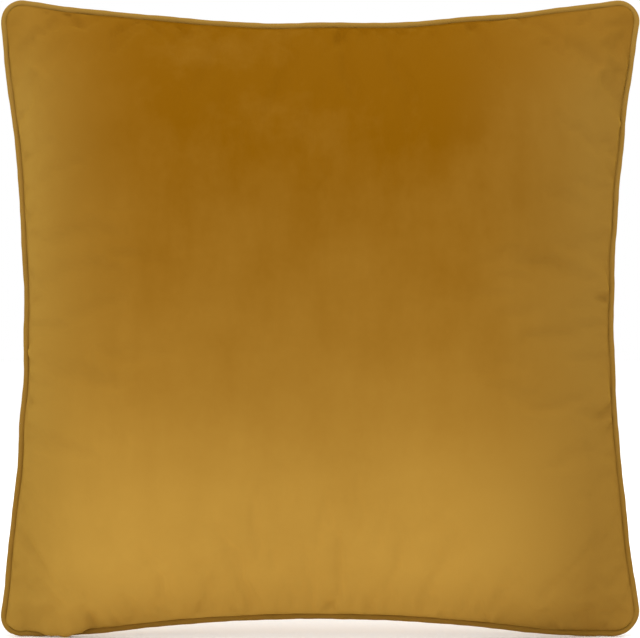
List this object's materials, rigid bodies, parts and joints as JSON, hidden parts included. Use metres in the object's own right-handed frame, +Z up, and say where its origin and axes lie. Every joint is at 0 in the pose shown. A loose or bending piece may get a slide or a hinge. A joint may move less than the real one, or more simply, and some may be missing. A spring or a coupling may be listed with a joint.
{
  "type": "throw pillow",
  "caption": "Square piped velvet throw pillow: sewn cover with a working zip in its bottom seam, and a separate stuffed inner pad.",
  "frame": {"origin": "under the middle of the pillow, on the surface that its bottom corners stand on", "axes": "+Z up the standing pillow, +X to the right as seen from the front, front face towards -Y, zip side towards +Y"},
  "size_m": [0.5397, 0.165, 0.5369],
  "materials": {
    "velvet": "mustard cotton velvet with a short cut pile, darker seen square on and pale gold where it turns away",
    "cotton_cord": "undyed twisted cotton piping cord",
    "thread": "mustard polyester sewing thread",
    "zip_tape": "woven polyester tape dyed to the cover",
    "zip_coil": "dyed polyester monofilament coil with a slight shine",
    "zip_metal": "antique brass plating on die-cast zinc, lightly worn",
    "pad_cloth": "white non-woven polyester casing",
    "filling": "white siliconised hollow polyester fibre",
    "pad_thread": "white polyester sewing thread",
    "label": "blank white satin ribbon, hot-cut"
  },
  "bodies": {
    "pillow": {"front_panel": "velvet", "back_panel": "velvet", "piping_cover": "velvet", "piping_cord": "cotton_cord", "seam_thread": "thread", "care_label": "label", "zip_tape_front": "zip_tape", "zip_tape_back": "zip_tape", "zip_coil_front": "zip_coil", "zip_coil_back": "zip_coil", "zip_top_stop_front": "zip_metal", "zip_top_stop_back": "zip_metal", "zip_bottom_stop": "zip_metal", "zip_thread_front": "thread", "zip_thread_back": "thread", "bar_tack_left": "thread", "bar_tack_right": "thread", "pad_casing_front": "pad_cloth", "pad_casing_back": "pad_cloth", "pad_filling": "filling", "pad_seam_thread": "pad_thread", "pad_closing_thread": "pad_thread"},
    "slider": {"zip_slider": "zip_metal"},
    "pull": {"zip_pull": "zip_metal"}
  },
  "joints": [
    {"name": "zip_travel", "type": "hinge", "parent": "pillow", "child": "slider", "pos_m": [-0.002, 0, -1.3656], "axis": [0, 1, 0], "range_deg": [-12.03, 0]},
    {"name": "pull_flip", "type": "hinge", "parent": "slider", "child": "pull", "pos_m": [0.14343, 0.00777, 0.01397], "axis": [-0.0627, -0.8011, -0.5952], "range_deg": [0, 170]}
  ]
}
